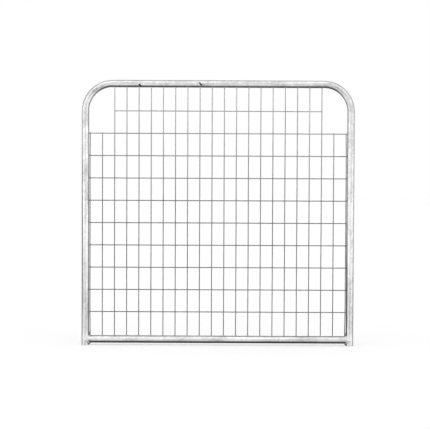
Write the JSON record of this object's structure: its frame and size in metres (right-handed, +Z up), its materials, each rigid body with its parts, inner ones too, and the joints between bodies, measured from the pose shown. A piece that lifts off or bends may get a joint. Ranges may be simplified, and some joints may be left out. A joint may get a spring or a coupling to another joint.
{
  "type": "garden gate",
  "caption": "Galvanised steel garden gate leaf: bent tube hoop with a welded bottom rail and welded wire mesh, cut away at both top corners.",
  "frame": {"origin": "midway between the two legs, level with their open lower ends", "axes": "+X across the gate from the left leg to the right leg, +Y from the front to the back (the upright wires lie on the front, -Y), +Z up"},
  "size_m": [1.22, 0.0386, 1.188],
  "materials": {
    "galvanised_tube": "hot-dip galvanised, bright and slightly mottled",
    "galvanised_wire": "hot-dip galvanised, satin",
    "galvanised_weld": "hot-dip galvanised, satin, over a rippled bead"
  },
  "bodies": {
    "root": {"left_leg": "galvanised_tube", "right_leg": "galvanised_tube", "top_bow": "galvanised_tube", "bottom_rail": "galvanised_tube", "left_rail_weld": "galvanised_weld", "right_rail_weld": "galvanised_weld", "mesh_upright_01": "galvanised_wire", "mesh_upright_02": "galvanised_wire", "mesh_upright_03": "galvanised_wire", "mesh_upright_04": "galvanised_wire", "mesh_upright_05": "galvanised_wire", "mesh_upright_06": "galvanised_wire", "mesh_upright_07": "galvanised_wire", "mesh_upright_08": "galvanised_wire", "mesh_upright_09": "galvanised_wire", "mesh_upright_10": "galvanised_wire", "mesh_upright_11": "galvanised_wire", "mesh_upright_12": "galvanised_wire", "mesh_upright_13": "galvanised_wire", "mesh_upright_14": "galvanised_wire", "mesh_upright_15": "galvanised_wire", "mesh_upright_16": "galvanised_wire", "mesh_upright_17": "galvanised_wire", "mesh_upright_18": "galvanised_wire", "mesh_upright_19": "galvanised_wire", "mesh_upright_20": "galvanised_wire", "mesh_upright_21": "galvanised_wire", "mesh_upright_22": "galvanised_wire", "mesh_cross_wire_01": "galvanised_wire", "mesh_cross_wire_02": "galvanised_wire", "mesh_cross_wire_03": "galvanised_wire", "mesh_cross_wire_04": "galvanised_wire", "mesh_cross_wire_05": "galvanised_wire", "mesh_cross_wire_06": "galvanised_wire", "mesh_cross_wire_07": "galvanised_wire", "mesh_cross_wire_08": "galvanised_wire", "mesh_cross_wire_09": "galvanised_wire", "mesh_cross_wire_10": "galvanised_wire", "left_leg_mesh_welds": "galvanised_weld", "right_leg_mesh_welds": "galvanised_weld", "top_rail_mesh_welds": "galvanised_weld", "bottom_rail_mesh_welds": "galvanised_weld"}
  },
  "joints": []
}
